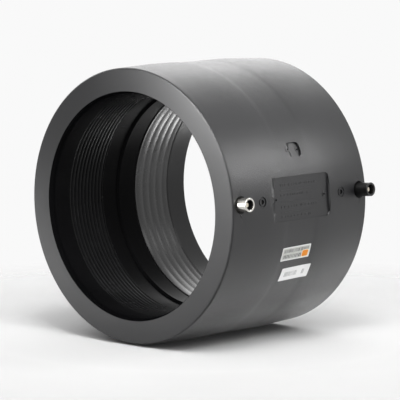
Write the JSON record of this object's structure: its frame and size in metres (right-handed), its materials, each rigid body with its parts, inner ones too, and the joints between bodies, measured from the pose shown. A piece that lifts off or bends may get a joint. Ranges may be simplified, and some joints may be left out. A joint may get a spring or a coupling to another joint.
{
  "type": "electrofusion coupler",
  "caption": "Straight polyethylene pipe coupler with a heating coil in each socket, a shrouded terminal at each end and fusion indicators.",
  "frame": {"origin": "centre of the bore at the lower end face", "axes": "+Z along the bore axis, from the lower end to the upper end; -Y through both terminals"},
  "size_m": [0.2514, 0.2641, 0.182],
  "materials": {
    "body_plastic": "satin",
    "coil_coating": "satin",
    "sleeve_metal": "satin",
    "shroud_plastic": "matte",
    "contact_metal": "bright tin plate",
    "indicator_plastic": "matte",
    "wire_metal": "drawn copper",
    "data_label_film": "printed film",
    "batch_label_film": "printed film"
  },
  "bodies": {
    "root": {"coupler_body": "body_plastic", "lower_coil": "coil_coating", "upper_coil": "coil_coating", "lower_sleeve": "sleeve_metal", "upper_shroud": "shroud_plastic", "lower_pin": "contact_metal", "upper_pin": "contact_metal", "lower_indicator": "indicator_plastic", "upper_indicator": "indicator_plastic", "lower_lead": "wire_metal", "upper_lead": "wire_metal", "coil_link": "wire_metal", "data_label": "data_label_film", "batch_label": "batch_label_film"}
  },
  "joints": []
}
